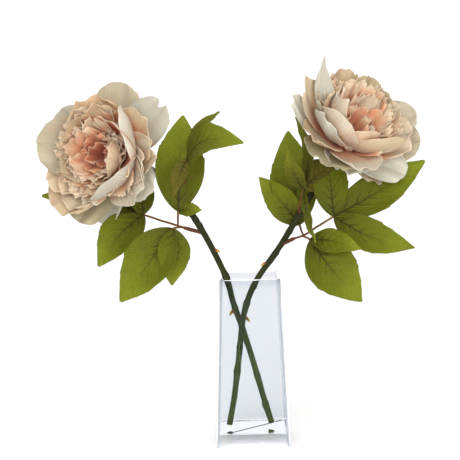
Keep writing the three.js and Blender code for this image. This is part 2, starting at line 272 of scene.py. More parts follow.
# Soda-lime glass, fire polished: clear and glossy with a trace of cold blue. Painted shade deepens
# the blue in the upright corners and the lip, where light runs a long way through the glass.
size = add_node(tree, "ShaderNodeVectorMath", {"operation": "ABSOLUTE"}, {0: object_place(tree)})
parts = add_node(tree, "ShaderNodeSeparateXYZ", inputs={0: size.outputs[0]})
half_here = calc(tree, "MULTIPLY_ADD", parts.outputs["Z"],
                 (VASE_MOUTH_HALF - vase_foot_half) / vase_height, vase_foot_half)
# How far each point of the glass is from the upright line where two outer sides would meet.
flat = add_node(tree, "ShaderNodeCombineXYZ", inputs={0: parts.outputs["X"], 1: parts.outputs["Y"]})
corner = add_node(tree, "ShaderNodeCombineXYZ", inputs={0: half_here, 1: half_here})
from_corner = add_node(tree, "ShaderNodeVectorMath", {"operation": "DISTANCE"}, {
    0: flat.outputs[0], 1: corner.outputs[0]})
corner_share = rescale(tree, from_corner.outputs["Value"], 0.0, 2 * VASE_CORNER)
# Painted shade: darker blue-grey bands near each upright corner that fade to a faint tint on the walls.
corner_painted_shade = colour_ramp(
    tree, corner_share, (0.3, "b9c3ce"), (0.48, "b0bbc8"), (0.56, "dce1e8"), (0.66, "eff1f4"))
# Painted shade: a faint darker, colder tint at the top of the lip.
lip = rescale(tree, parts.outputs["Z"], vase_height - LIP_START, vase_height - LIP_FULL)
surface = add_node(tree, "ShaderNodeBsdfPrincipled", inputs={
    "Base Color": mixed(tree, lip, corner_painted_shade, linear("f0f2f5"), "MULTIPLY"),
    "Roughness": 0.0, "IOR": 1.5, "Specular IOR Level": 0.1,
    "Specular Tint": linear("5a5f66"), "Transmission Weight": 1.0})
tree.links.new(surface.outputs[0], out.inputs["Surface"])
vase.data.materials.append(clear_glass)
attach(vase, "root")
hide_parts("vase")


# ---- Stems ----------------------------------------------------------------------------
# Two stout ridged stems that cross inside the vase. Each grew as one piece: leaf scars ring
# it, small warts stand on it, and it carries two hooked thorns.
STEM_RADIUS = 0.0027
STEM_SIDES = 24
STEM_RINGS = 260
MM = 0.001

STEM_ROUTES = {
    "left": [
        (18, 4, 14.6), (11.6, 2, 37), (1, -1, 77), (-7.2, -3.6, 105), (-15.4, -6, 130),
        (-20.8, -7.5, 152), (-33, -6, 180), (-45.5, -1, 203), (-60, 10, 224),
        (-78, 27, 243), (-97, 43, 257), (-115, 53, 264), (-124.5, 53, 266.2), (-126.3, 47, 266.4)],
    "right": [
        (-21.6, -2, 14.6), (-17.1, 0, 37), (-12.6, 2.5, 68), (-9.2, 4.2, 96), (-6.6, 6.8, 114),
        (-0.9, 12.5, 133), (8.6, 18.5, 151), (24, 23.5, 171), (38.4, 27, 192), (54, 31, 217),
        (66, 36, 235), (78, 40, 253), (87, 40, 268), (91.7, 34.1, 277.8)],
}
# Where along the stem a thorn stands, and the way it points.
THORNS = {
    "left": [(0.35, (-0.9, -0.3, -0.5)), (0.533, (0.95, -0.25, 0.1))],
    "right": [(0.345, (0.9, -0.35, -0.4)), (0.53, (-0.95, -0.3, 0.15))],
}


def smooth_route(points, count):
    """Evenly spaced points along a centripetal Catmull-Rom curve through points, in metres."""
    p = [np.array(q, float) * MM for q in points]
    p = [2 * p[0] - p[1], *p, 2 * p[-1] - p[-2]]
    dense = []
    for a, b, c, d in zip(p, p[1:], p[2:], p[3:]):
        k1 = np.linalg.norm(b - a) ** 0.5
        k2 = k1 + np.linalg.norm(c - b) ** 0.5
        k3 = k2 + np.linalg.norm(d - c) ** 0.5
        for t in np.linspace(k1, k2, 24, endpoint=False):
            ab = a + (b - a) * t / k1
            bc = b + (c - b) * (t - k1) / (k2 - k1)
            cd = c + (d - c) * (t - k2) / (k3 - k2)
            abc = ab + (bc - ab) * t / k2
            bcd = bc + (cd - bc) * (t - k1) / (k3 - k1)
            dense.append(abc + (bcd - abc) * (t - k1) / (k2 - k1))
    dense = np.array([*dense, p[-2]])
    length = np.concatenate([[0], np.cumsum(np.linalg.norm(np.diff(dense, axis=0), axis=1))])
    even = np.linspace(0, length[-1], count)
    return np.stack([np.interp(even, length, dense[:, k]) for k in range(3)], 1), length[-1]


def steady_frames(path):
    """Two cross directions at each point of path, carried along without twisting."""
    ahead = np.gradient(path, axis=0)
    ahead /= np.linalg.norm(ahead, axis=1)[:, None]
    side = np.cross(ahead[0], (0.0, 1.0, 0.0))
    sides = []
    for direction in ahead:
        side = side - direction * (side @ direction)
        side /= np.linalg.norm(side)
        sides.append(side.copy())
    return np.array(sides), np.cross(ahead, np.array(sides))


def bent_rod(name, points, sides, rings, radius_at):
    """A round bar along points. radius_at(share, turn) gives its radius in metres. A cylinder
    is cut into rings, then each of its points is moved to its place along the route."""
    bpy.ops.mesh.primitive_cylinder_add(
        vertices=sides, radius=1, depth=1, location=(0, 0, 0), end_fill_type="TRIFAN")
    rod = bpy.context.object
    rod.name = name
    bpy.ops.object.mode_set(mode="EDIT")
    select(rod, "EDGE", climbs(0.5))
    bpy.ops.mesh.subdivide(number_cuts=rings - 2)
    bpy.ops.object.mode_set(mode="OBJECT")
    path, length = smooth_route(points, rings)
    across, over = steady_frames(path)
    co = np.array([v.co for v in rod.data.vertices])
    ring = np.rint((co[:, 2] + 0.5) * (rings - 1)).astype(int)
    turn = np.arctan2(co[:, 1], co[:, 0])
    radius = np.hypot(co[:, 0], co[:, 1]) * radius_at(ring / (rings - 1), turn)
    moved = path[ring] + (across[ring] * np.cos(turn)[:, None]
                          + over[ring] * np.sin(turn)[:, None]) * radius[:, None]
    rod.data.vertices.foreach_set("co", moved.ravel())
    share = rod.data.attributes.new("along", "FLOAT", "POINT")
    share.data.foreach_set("value", (ring / (rings - 1)).astype(np.float32))
    bpy.ops.object.mode_set(mode="EDIT")
    bpy.ops.mesh.select_all(action="SELECT")
    bpy.ops.mesh.normals_make_consistent(inside=False)
    bpy.ops.object.mode_set(mode="OBJECT")
    bpy.ops.object.shade_smooth_by_angle(angle=math.radians(60))
    return rod, path


def ripple(x, seed, octaves=3):
    """A smooth repeatable wave from -1 to 1 with no plain period."""
    draw = random.Random(seed)
    total = np.zeros_like(x)
    for k in range(octaves):
        total += math.sin(1) ** k * np.sin(x * (1.7 ** k) * draw.uniform(0.8, 1.2)
                                           + draw.uniform(0, 2 * math.pi))
    return total / octaves


SCAR_COUNT, SCAR_HEIGHT = 17, 0.0004
WART_COUNT, WART_HEIGHT = 34, 0.0006
# How far a scar or a wart reaches along the stem, as a share of the stem's length.
MARK_LENGTH = 0.0035
# How much thicker the stem is just below a scar.
NODE_SWELL = 0.00022


def stem_radius(seed):
    """The stem's ridges, its leaf scars, and the warts that stand on it."""
    draw = random.Random(seed)
    scars = [draw.uniform(0.03, 0.97) for _ in range(SCAR_COUNT)]
    warts = [(draw.uniform(0.03, 0.95), draw.uniform(-math.pi, math.pi))
             for _ in range(WART_COUNT)]

    def radius_at(share, turn):
        radius = STEM_RADIUS * (1 + 0.05 * np.cos(5 * turn + 6 * share)
                                + 0.025 * ripple(share * 160 + 2 * turn, seed))
        for place in scars:
            step = (share - place) / MARK_LENGTH
            radius += SCAR_HEIGHT * np.exp(-step ** 2) * (1 + 0.6 * np.sin(turn + 9 * place))
            radius += NODE_SWELL * np.clip(1 - (place - share) / 0.04, 0, 1) * (share < place)
        for place, side in warts:
            round_by = np.angle(np.exp(1j * (turn - side))) / 0.32
            reach = ((share - place) / MARK_LENGTH) ** 2 + round_by ** 2
            radius += WART_HEIGHT * np.exp(-reach)
        return radius

    return radius_at


THORN_LENGTH = 0.0048
THORN_RADIUS = 0.0018
THORN_POINT = 0.00014
THORN_HOOK = 0.0024


def thorn(place, direction):
    """A hooked thorn: a cone whose sides swell out and whose point is drawn downwards. Its
    value "along" runs from 1.2 at its root to 2.2 at its point. On a stem it is 0 to 1."""
    bpy.ops.mesh.primitive_cone_add(
        vertices=12, radius1=THORN_RADIUS, radius2=THORN_POINT, depth=THORN_LENGTH,
        location=(0, 0, THORN_LENGTH / 2))
    spike = bpy.context.object
    bpy.ops.object.transform_apply(location=True, rotation=False, scale=False)
    bpy.ops.object.mode_set(mode="EDIT")
    select(spike, "EDGE", climbs(THORN_LENGTH / 2))
    bpy.ops.mesh.subdivide(number_cuts=6)
    bpy.ops.object.mode_set(mode="OBJECT")
    turn = Vector((0, 0, 1)).rotation_difference(Vector(direction).normalized())
    along = spike.data.attributes.new("along", "FLOAT", "POINT")
    reach = []
    for vertex in spike.data.vertices:
        height = vertex.co.z / THORN_LENGTH
        reach.append(1.2 + height)
        slim = max(1 - height, 0) ** 0.45
        vertex.co.x *= slim / max(1 - height, 0.08)
        vertex.co.y *= slim / max(1 - height, 0.08)
        hook = Vector((0, 0, -THORN_HOOK * height ** 2))
        vertex.co = turn @ vertex.co + hook + place
    along.data.foreach_set("value", np.array(reach, np.float32))
    bpy.ops.object.shade_smooth()
    return spike


def join(pieces, name):
    """Joins pieces into the first one and names it."""
    bpy.ops.object.select_all(action="DESELECT")
    for piece in pieces:
        piece.select_set(True)
    bpy.context.view_layer.objects.active = pieces[0]
    if len(pieces) > 1:
        bpy.ops.object.join()
    pieces[0].name = name
    bpy.ops.object.select_all(action="DESELECT")
    return pieces[0]


def attribute(tree, name):
    return add_node(tree, "ShaderNodeAttribute", {"attribute_name": name}).outputs["Fac"]


def noise(tree, where, scale, detail, roughness=0.5):
    return add_node(tree, "ShaderNodeTexNoise", inputs={
        "Vector": where, "Scale": scale, "Detail": detail, "Roughness": roughness}).outputs[0]


def stretched(tree, where, scale):
    return add_node(tree, "ShaderNodeMapping", inputs={"Vector": where, "Scale": scale}).outputs[0]


def relief(tree, height, strength, distance):
    """A surface direction that shows height as small bumps."""
    return add_node(tree, "ShaderNodeBump", inputs={
        "Strength": strength, "Distance": distance, "Height": height}).outputs[0]


stem_skin, tree, out = new_material("green_stem_skin")
# Waxy plant skin over ridged fibres: dark olive green above, greener and lighter in the vase,
# streaked lengthwise. A thorn turns from brown at its root to yellow at its point.
where = object_place(tree)
height = add_node(tree, "ShaderNodeSeparateXYZ", inputs={0: where}).outputs["Z"]
streaks = noise(tree, stretched(tree, where, (900, 900, 120)), 1.0, 3.0)
base = mixed(tree, rescale(tree, height, 0.06, 0.17), linear("4c582b"), linear("262812"))
streaked = mixed(tree, 1.0, base, rescale(tree, streaks, 0.3, 0.75, 0.72, 1.25), "MULTIPLY")
along = attribute(tree, "along")
thorn_colour = colour_ramp(
    tree, rescale(tree, along, 1.2, 2.2), (0.0, "4d3a22"), (0.35, "8a5a22"), (1.0, "c9b23c"))
surface = add_node(tree, "ShaderNodeBsdfPrincipled", inputs={
    "Base Color": mixed(tree, calc(tree, "GREATER_THAN", along, 1.1), streaked, thorn_colour),
    "Roughness": 0.65, "IOR": 1.45, "Specular IOR Level": 0.12,
    "Normal": relief(tree, streaks, 0.5, 0.0004)})
tree.links.new(surface.outputs[0], out.inputs["Surface"])

for number, (side, points) in enumerate(STEM_ROUTES.items()):
    rod, path = bent_rod(f"stem_{side}", points, STEM_SIDES, STEM_RINGS, stem_radius(40 + number))
    spikes = []
    for share, direction in THORNS[side]:
        root = Vector(path[round(share * (STEM_RINGS - 1))])
        spikes.append(thorn(root + Vector(direction).normalized() * STEM_RADIUS * 0.75, direction))
    stem = join([rod, *spikes], f"green_stem_{side}")
    stem.data.materials.append(stem_skin)
    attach(stem, "root")
    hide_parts(f"stem_{side}")


# ---- Leaf stalks ----------------------------------------------------------------------
# Thin red-brown stalks that leave the stem in a thick sleeve, thin out, and fork to the
# leaves. The start of each sleeve is sunk in the stem.
STALK_RADIUS = 0.001
SLEEVE_RADIUS = 0.0018
STALKS = {
    "left_lower": [
        [(-42, -2.5, 196.5), (-53, -4.5, 199.5), (-65, -3, 203.5), (-79, 9, 206.7), (-98, 34, 210.5)],
        [(-65, -3, 203.5), (-64.8, -1.5, 210), (-64.5, 1, 216.5)],
        [(-60, -4, 202), (-65, -4, 202), (-69.5, -3, 201)]],
    "right_lower": [
        [(32, 25.5, 180.5), (42, 20, 186), (51.5, 16, 189.5), (66, 18, 198), (80.5, 22, 206)],
        [(51.5, 16, 189.5), (50, 27, 193), (49, 38, 197.5)],
        [(50, 16.5, 189), (54, 12, 188), (57.5, 8, 186.5)]],
    "left_upper": [[(-64, 16, 228), (-58, 4, 243), (-55.5, -2, 256), (-54, -6, 265)]],
    "right_upper": [[(49, 29.6, 209.5), (48, 22, 215), (50, 18, 224), (52.5, 17, 232.5)]],
}

stalk_skin, tree, out = new_material("brown_stalk_skin")
# Thin smooth bark, red-brown in the sleeve and yellower along the thin stalk.
flecks = noise(tree, object_place(tree), 420.0, 3.0)
bark = colour_ramp(tree, attribute(tree, "along"), (0.0, "422413"), (0.3, "5c3117"), (1.0, "6b4d20"))
surface = add_node(tree, "ShaderNodeBsdfPrincipled", inputs={
    "Base Color": mixed(tree, 1.0, bark, rescale(tree, flecks, 0.3, 0.7, 0.7, 1.2), "MULTIPLY"),
    "Roughness": 0.55, "IOR": 1.45, "Specular IOR Level": 0.2,
    "Normal": relief(tree, flecks, 0.3, 0.0003)})
tree.links.new(surface.outputs[0], out.inputs["Surface"])


def stalk_radius(share, turn):
    """The thick sleeve at the start, then a thin stalk with three faint ridges."""
    sleeve = SLEEVE_RADIUS * (1 - np.clip((share - 0.22) / 0.1, 0, 1))
    return np.maximum(sleeve, STALK_RADIUS) * (1 + 0.06 * np.cos(3 * turn + 20 * share))


def branch_radius(share, turn):
    """A side branch: thin at the fork and a little thicker at the leaf."""
    return STALK_RADIUS * (0.85 + 0.25 * share) * (1 + 0.06 * np.cos(3 * turn + 20 * share))


for name, runs in STALKS.items():
    rods = []
    for number, run in enumerate(runs):
        thick = stalk_radius if number == 0 else branch_radius
        rods.append(bent_rod("run", run, 12, 40, thick)[0])
    stalk = join(rods, f"leaf_stalk_{name}")
    stalk.data.materials.append(stalk_skin)
    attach(stalk, "root")
    side, level = name.split("_")
    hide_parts(f"stalk_{side}_{level}")


# ---- Leaves ---------------------------------------------------------------------------
# Divided leaves of two to four lobes that grow from one point. A lobe is a thin blade with
# a sunk midrib, side veins, a little wave along its edge and a few coarse teeth.
LEAF_THICK = 0.0007
LEAF_ALONG = 56
LEAF_ACROSS = 26


def leaf_outline(u):
    """Half width of a lobe at u from base to tip, as a share of its widest."""
    return 0.03 + 0.97 * np.sin(math.pi * np.clip(u, 0, 1) ** 0.8) ** 0.9


def shell(name, across_count, along_count, place, thickness):
    """A thin closed shell. A flat grid with a UV map is moved by place(v, u), with v from -1
    to 1 across and u from 0 to 1 along, and then given its thickness on its inner side."""
    bpy.ops.mesh.primitive_grid_add(
        x_subdivisions=across_count, y_subdivisions=along_count, size=2, calc_uvs=True)
    sheet = bpy.context.object
    sheet.name = name
    co = np.array([v.co for v in sheet.data.vertices])
    moved, values = place(co[:, 0], (co[:, 1] + 1) / 2)
    sheet.data.vertices.foreach_set("co", moved.astype(np.float32).ravel())
    for key in values:
        stored = sheet.data.attributes.new(key, "FLOAT", "POINT")
        stored.data.foreach_set("value", values[key].astype(np.float32))
    bpy.ops.object.modifier_add(type="SOLIDIFY")
    sheet.modifiers[-1].thickness = thickness
    sheet.modifiers[-1].offset = -1
    bpy.ops.object.modifier_apply(modifier=sheet.modifiers[-1].name)
    bpy.ops.object.shade_smooth()
    return sheet


def leaf_lobe(base, tip, width, face, arch, bow, shade_and_underside, seed):
    """One lobe of a leaf from base to tip, in mm, with its upper side towards face."""
    start = np.array(base, float)
    run = np.array(tip, float) - start
    ahead = run / np.linalg.norm(run)
    side = np.cross(face, ahead)
    side /= np.linalg.norm(side)
    up = np.cross(ahead, side)
    teeth = random.Random(seed)
    steps = sorted(teeth.uniform(0.45, 0.9) for _ in range(6))

    def place(v, u):
        half = 0.5 * width * leaf_outline(u)
        notch = np.zeros_like(u)
        for number, step in enumerate(steps):
            on_side = v * (1 if number % 2 else -1) > 0
            notch += on_side * 0.05 * np.clip(1 - (step - u) / 0.09, 0, 1) * (u < step)
        edge = np.abs(v) ** 6
        s = v * half * (1 + notch * edge)
        rib = -0.5 * np.exp(-(s / 0.9) ** 2) * (1 - u)
        veins = 0.18 * np.cos(2 * math.pi * (8 * u - 0.12 * np.abs(s) + 0.25)) * (1 - edge)
        wave = (1.5 * np.abs(v) ** 3) * ripple(u * 9 + np.sign(v) * 3, seed)
        swell = ripple(u * 4 + v * 1.3, seed + 7)
        droop = 4 * arch * u * (1 - u) + 0.012 * s * s
        sweep = bow * np.sin(math.pi * u)
        lift = droop + rib + veins + wave + swell
        points = (start + np.outer(u, run) + np.outer(s + sweep, side) + np.outer(lift, up)) * MM
        return points, {"along": u, "across": s / 20, "shade_and_underside": np.full_like(u, shade_and_underside)}

    return shell("lobe", LEAF_ACROSS, LEAF_ALONG, place, LEAF_THICK)


leaf_skin, tree, out = new_material("veined_leaf_blade")
# Leaf blade: waxy green above, darker and browner round the midrib near the stalk, lighter
# and yellower to the tips, with pale fine veins that run out to the edge.
where = object_place(tree)
along = attribute(tree, "along")
apart = calc(tree, "ABSOLUTE", attribute(tree, "across"))
patches = noise(tree, where, 55.0, 4.0)
cells = add_node(tree, "ShaderNodeTexVoronoi", {"feature": "DISTANCE_TO_EDGE"}, {
    "Vector": where, "Scale": 800.0})
net = rescale(tree, cells.outputs["Distance"], 0.02, 0.2)
# Side veins slant from the midrib towards the tip, bent by a little noise.
slant = calc(tree, "MULTIPLY_ADD", apart, -2.4, calc(tree, "MULTIPLY", along, 8.0))
line = calc(tree, "MULTIPLY_ADD", noise(tree, where, 90.0, 2.0), 0.5, slant)
fine_line = calc(tree, "PINGPONG", calc(tree, "MULTIPLY", line, 4.0), 0.5)
fine = rescale(tree, fine_line, 0.0, 0.22, 1.0, 0.0)
vein = rescale(tree, calc(tree, "PINGPONG", line, 0.5), 0.02, 0.14, 1.0, 0.0)
rib = rescale(tree, apart, 0.015, 0.075, 1.0, 0.0)
upper_side = colour_ramp(
    tree, along, (0.0, "45430c"), (0.22, "575a0b"), (0.55, "656a0c"), (1.0, "818a20"))
# Painted shade, partly the brown underside: each lobe's value from the table darkens it towards olive
# brown.
blade = mixed(tree, attribute(tree, "shade_and_underside"), upper_side, linear("5a4d17"))
body = mixed(tree, 1.0, blade, rescale(tree, patches, 0.3, 0.7, 0.8, 1.08), "MULTIPLY")
pale = mixed(tree, calc(tree, "MULTIPLY", fine, 0.5), body, linear("8a9526"))
netted = mixed(tree, 0.35, pale, net, "MULTIPLY")
# The dark veins are strong by the stalk and gone about seven tenths of the way to the tip.
fade = rescale(tree, along, 0.25, 0.72, 0.85, 0.0)
near_rib = rescale(tree, apart, 0.05, 0.5, 1.0, 0.0)
dark = calc(tree, "MAXIMUM", calc(tree, "MULTIPLY", vein, near_rib), rib)
colour = mixed(tree, calc(tree, "MULTIPLY", dark, fade), netted, linear("2c260b"))
surface = add_node(tree, "ShaderNodeBsdfPrincipled", inputs={
    "Base Color": colour, "Roughness": 0.6, "IOR": 1.45, "Specular IOR Level": 0.15,
    "Normal": relief(tree, calc(tree, "MULTIPLY_ADD", fine, -0.5, net), 0.45, 0.0003)})
glow = add_node(tree, "ShaderNodeBsdfTranslucent", inputs={"Color": colour})
leaf_tissue = add_node(tree, "ShaderNodeMixShader", inputs={
    "Fac": 0.18, 1: surface.outputs[0], 2: glow.outputs[0]})
tree.links.new(leaf_tissue.outputs[0], out.inputs["Surface"])

# Each leaf is its base point and its lobes. A lobe is its tip, its width, the way its upper
# side faces, how high it arches, how far it bows sideways, and how brown and dark it is, up to 1:
# partly its own brown underside where that is seen, partly painted shade on lobes that lie in shade.
LEAVES = {
    "leaf_left_terminal": ((-98, 34, 210.5), [
        ((-141, 16, 165), 39, (-0.3, -1, 0.5), 5, -2, 0),
        ((-198, 78, 226.6), 34, (0.1, -1, 0.35), -4, -8, 0),
        ((-106, 52, 246), 26, (0.2, -1, 0.1), 5, 0, 0)]),
    "leaf_left_upright": ((-64.5, 1, 216.5), [
        ((-59, 30, 303), 46, (0.1, -1, 0.2), 5, 1, 0),
        ((-43, -2, 217), 14, (0, -1, 0.6), 3, 0, 0)]),
    "leaf_left_low": ((-69.5, -3, 201), [
        ((-119, -16, 136), 47, (-0.2, -1, 0.3), 5, 2, 0),
        ((-72, -15, 150), 31, (0.3, -1, 0.25), 4, 0, 0)]),
    "leaf_left_upper": ((-54, -6, 265), [
        ((-3, -26, 280), 37, (-0.2, -0.75, 0.75), 15, 1, 0),
        ((-24, 4, 307), 22, (-0.9, -0.4, 0.3), 7, 0, 0.3),
        ((-68, -18, 232), 16, (-0.4, -1, 0.2), 5, 0, 0.9)]),
    "leaf_right_terminal": ((80.5, 22, 206), [
        ((168, 40, 255), 37, (0.1, -1, 0.45), 5, -3, 0),
        ((154, 2, 177), 34, (0.1, -1, 0.5), 5, -8, 0),
        ((77, 44, 270), 33, (-0.1, -1, 0.1), 5, 0, 0)]),
    "leaf_right_upright": ((49, 38, 197.5), [
        ((40, 52, 285), 44, (-0.1, -1, 0.1), 5, 0, 0),
        ((12, 40, 243), 29, (-0.3, -1, 0.1), 5, -2, 0)]),
    "leaf_right_low": ((57.5, 8, 186.5), [
        ((103, -6, 129), 47, (0.1, -1, 0.35), 5, -3.5, 0),
        ((103, -6, 178), 26, (0.1, -0.9, 0.6), 4, 0, 0)]),
    "leaf_right_upper": ((52.5, 17, 232.5), [
        ((38, -6, 272), 19, (-0.5, -1, 0.1), 5, 0, 0.4),
        ((47, 22, 300), 22, (-0.9, -0.45, 0.05), -8, -3, 0.5),
        ((88, 26, 258), 30, (0.15, 0.8, 0.5), 5, 0, 1),
        ((62, -14, 186), 16, (-1, -0.4, 0.05), 2, 0, 0.1)]),
}
for number, (name, (base, lobes)) in enumerate(LEAVES.items()):
    blades = [leaf_lobe(base, *lobe, 10 * number + k) for k, lobe in enumerate(lobes)]
    leaf = join(blades, name.replace("leaf_", "divided_leaf_"))
    leaf.data.materials.append(leaf_skin)
    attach(leaf, "root")
    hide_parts(name)


# ---- Blooms: where they sit -------------------------------------------------------------
# Each bloom sits on the end of its stem. Its petals are placed in the bloom's own frame:
# its origin on the receptacle, z the way it faces, x to the right and y up, seen from in front.
BLOOM_SEATS = {
    "left": ((-126, 47, 266.3), (-0.42, -0.88, 0.14)),
    "right": ((90.5, 35.7, 276), (0.46, -0.62, 0.63)),
}


def bloom_axes(side):
    origin, facing = (np.array(part, float) for part in BLOOM_SEATS[side])
    z = facing / np.linalg.norm(facing)
    x = np.cross((0, 0, 1), z)
    x /= np.linalg.norm(x)
    return origin, np.array([x, np.cross(z, x), z])


def curled(base, tip, curl, count=80):
    """The mid line of a petal of length 1 whose lean from the axis goes from base to tip, with
    curl degrees more over its last third. Returns share, outward reach, height and lean."""
    s = np.linspace(0, 1.15, count)
    lean = np.radians(base + (tip - base) * s + curl * np.clip((s - 0.66) / 0.34, 0, 1.3) ** 2)
    step = np.diff(s, prepend=0)
    return s, np.cumsum(np.sin(lean) * step), np.cumsum(np.cos(lean) * step), lean


def petal_form(side, az, length, width, lean0, lean1, cup=70, curl=0, r0=6.5, z0=2.5, twist=10,
               claw=0.16, widest=0.55, point=0, notch=0, rag=0, ruffle=1.5, frill=1.5, waves=2.2,
               roll=0, blush=0.45, tone=0.3, seed=1, skew=0, shift=0, green=0, warmth=0):
    """The shape of one petal, in mm and degrees, as the place function that shell() takes.
    az is its place round the axis; lean0 and lean1 its lean at the claw and at the tip; cup
    the arc across it; roll turns its edges; blush says how far the coral reaches up from the
    claw; tone how creamy the tip is; rag, ruffle and frill how torn and wavy its edge is."""
    origin, axes = bloom_axes(side)
    a = math.radians(az)
    out_dir = np.array((math.cos(a), math.sin(a), 0))
    tangent = np.array((-math.sin(a), math.cos(a), 0))
    line_s, line_r, line_z, line_lean = curled(lean0, lean1, curl)
    q = np.linspace(0, 1.6, 80)
    arc = np.radians(cup / 2) * q + np.radians(roll) * q ** 4
    step = np.diff(q, prepend=0)
    arc_side, arc_lift = np.cumsum(np.cos(arc) * step), np.cumsum(np.sin(arc) * step)
    draw = random.Random(seed)
    phase = [draw.uniform(0, 2 * math.pi) for _ in range(6)]

    def place(v, u):
        t = np.clip((u - widest) / (1 - widest), 0, 1)
        grow = claw + (1 - claw) * np.sin(math.pi / 2 * np.clip(u / widest, 0, 1) ** 0.9)
        x = v * grow * np.sqrt(1 - t ** 2 / 2)
        s = np.where(u < widest, u, widest + (1 - widest) * t * np.sqrt(1 - v ** 2 / 2))
        s = s + point * t ** 3 * np.exp(-(v / 0.28) ** 2) - 0.3 * point * t * np.abs(v)
        s = s - notch * t ** 2 * np.exp(-((v - 0.25 * math.sin(phase[0])) / 0.16) ** 2)
        rim = np.maximum(np.abs(v), t) ** 5
        jag = ripple(v * 9 + u * 7, seed, 4) + 0.7 * ripple(v * 23 - u * 17, seed + 1, 2)
        s = s + rag * rim * t * jag
        x = x * (1 + 0.6 * rag * rim * jag) + skew * s ** 2
        reach = np.abs(x)
        sideways = np.sign(x) * np.interp(reach, q, arc_side) * width / 2 + shift * s
        lift = np.interp(reach, q, arc_lift) * width / 2
        open_top = np.clip(s, 0, 1) ** 1.6
        lift = lift + ruffle * open_top * np.sin(waves * math.pi * v + phase[1] + 1.5 * u)
        lift = lift + frill * rim * ripple(5.2 * waves * (v + 0.4 * u) + phase[2], seed + 4, 2)
        lift = lift + 0.18 * open_top * ripple(v * 30, seed + 2, 3)
        lean = np.interp(s, line_s, line_lean)
        r = r0 + length * np.interp(s, line_s, line_r)
        z = z0 + length * np.interp(s, line_s, line_z)
        tw = math.radians(twist)
        inward = (-np.cos(lean)[:, None] * out_dir + np.sin(lean)[:, None] * np.array((0, 0, 1)))
        across = math.cos(tw) * tangent + math.sin(tw) * inward
        over = math.cos(tw) * inward - math.sin(tw) * tangent
        local = (np.outer(r, out_dir) + np.outer(z, (0, 0, 1))
                 + across * sideways[:, None] + over * lift[:, None])
        deep = np.clip(1 - s / max(blush, 0.01), 0, 1) + 0.05 * ripple(v * 12 + phase[3], seed, 2)
        return (origin + local @ axes) * MM, {
            "blush": np.clip(deep, 0, 1), "tone": np.full_like(s, tone),
            "green": np.full_like(s, green) * np.clip(1.3 - s, 0, 1),
            "warmth": np.full_like(s, warmth), "along": s, "across": x}

    return place


PETAL_THICK = 0.0005


def petal(side, inside=1.0, outside=0.35, fine=(34, 38), **form):
    """One petal as a thin closed shell. inside and outside say how strong the coral is on its
    inner and its outer face, and fine how many cells the sheet has across and along."""
    sheet = shell("petal", fine[0], fine[1], petal_form(side, **form), PETAL_THICK)
    count = len(sheet.data.vertices) // 2
    values = np.zeros(2 * count, np.float32)
    sheet.data.attributes["blush"].data.foreach_get("value", values)
    values[:count] *= outside
    values[count:] = np.clip(values[count:] * inside, 0, 1)
    sheet.data.attributes["blush"].data.foreach_set("value", values)
    return sheet


petal_skin, tree, out = new_material("peony_petal")
# Petal tissue: matt and soft, thin enough for light to glow through. Coral at the claw,
# peach further up, cream or almost white at the edge, with fine veins from claw to edge.
warmth = attribute(tree, "warmth")
mottle = noise(tree, object_place(tree), 70.0, 3.0)
sheet_place = add_node(tree, "ShaderNodeCombineXYZ", inputs={
    0: attribute(tree, "across"), 1: attribute(tree, "along")})
veins = noise(tree, stretched(tree, sheet_place.outputs[0], (26, 1.6, 1)), 1.0, 4.0, 0.6)
tip_colour = colour_ramp(
    tree, attribute(tree, "tone"),
    (0.0, "e4e1d4"), (0.15, "cfccbe"), (0.45, "c4b698"), (1.0, "cba67c"))
stained = add_node(tree, "ShaderNodeMath", {"operation": "ADD", "use_clamp": True}, {
    0: attribute(tree, "blush"), 1: rescale(tree, mottle, 0.3, 0.7, -0.07, 0.07)}).outputs[0]
body_colour = colour_ramp(
    tree, stained, (0.0, "e2bb90"), (0.3, "e4aa83"), (0.62, "d27c5f"), (1.0, "9c4330"))
# Painted light, partly the petals' own cream: a petal's value for warm light and cream lifts it towards a
# lighter warm cream and peach and warms the light through it, for the glow inside the bloom.
warm_tip = mixed(tree, warmth, tip_colour, linear("f0dfbf"))
warm_body = mixed(tree, calc(tree, "MULTIPLY", warmth, 0.35), body_colour, linear("eec39c"))
stain_share = rescale(tree, stained, 0.0, 0.38, kind="SMOOTHSTEP")
painted = mixed(tree, stain_share, warm_tip, warm_body)
greened = mixed(tree, attribute(tree, "green"), painted, linear("a3a460"))
colour = mixed(tree, 1.0, greened, rescale(tree, veins, 0.3, 0.7, 0.9, 1.07), "MULTIPLY")
bumps = relief(tree, veins, 0.35, 0.0005)
surface = add_node(tree, "ShaderNodeBsdfPrincipled", inputs={
    "Base Color": colour, "Roughness": 0.65, "IOR": 1.4, "Specular IOR Level": 0.25,
    "Sheen Weight": 0.15, "Sheen Roughness": 0.5, "Normal": bumps})
through = mixed(
    tree, calc(tree, "MULTIPLY_ADD", warmth, 0.4, 0.03), colour, linear("efb595"))
glow = add_node(tree, "ShaderNodeBsdfTranslucent", inputs={
    "Color": through, "Normal": bumps})
tissue = add_node(tree, "ShaderNodeMixShader", inputs={
    "Fac": 0.48, 1: surface.outputs[0], 2: glow.outputs[0]})
tree.links.new(tissue.outputs[0], out.inputs["Surface"])


# ---- Calyxes --------------------------------------------------------------------------
# The green cup under each bloom: a fleshy receptacle on the stem's end, with five sepals
# that lie against the outer petals.
sepal_skin, tree, out = new_material("green_sepal")
